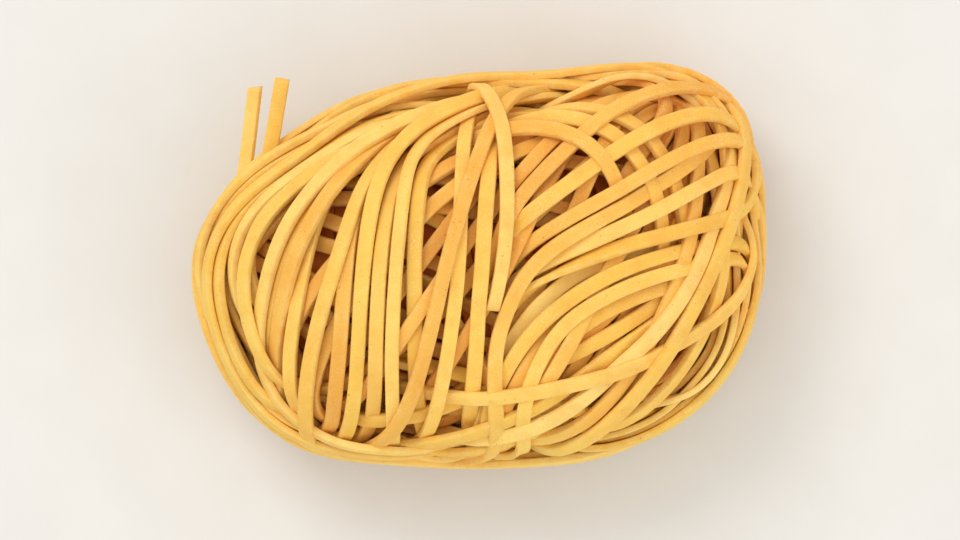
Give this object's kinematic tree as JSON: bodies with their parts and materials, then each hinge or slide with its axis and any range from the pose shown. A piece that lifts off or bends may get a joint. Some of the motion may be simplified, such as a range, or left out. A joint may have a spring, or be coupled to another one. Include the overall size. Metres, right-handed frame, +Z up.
{
  "type": "dry pasta nest",
  "caption": "Rounded oblong nest of thin flat dried egg noodles, wound round its sides and bowed over its crown, with loose cut ends at one end.",
  "frame": {"origin": "under the middle of the nest's bounding box, on the surface that it stands on", "axes": "+Z up, +X along the nest's length, away from the end with the loose noodle ends, +Y across it"},
  "size_m": [0.0856, 0.0604, 0.0377],
  "materials": {
    "pasta": "dry egg pasta: matte golden straw yellow, slightly rough and floury, faintly translucent at the thin edges"
  },
  "bodies": {
    "root": {"pasta_nest": "pasta"}
  },
  "joints": []
}
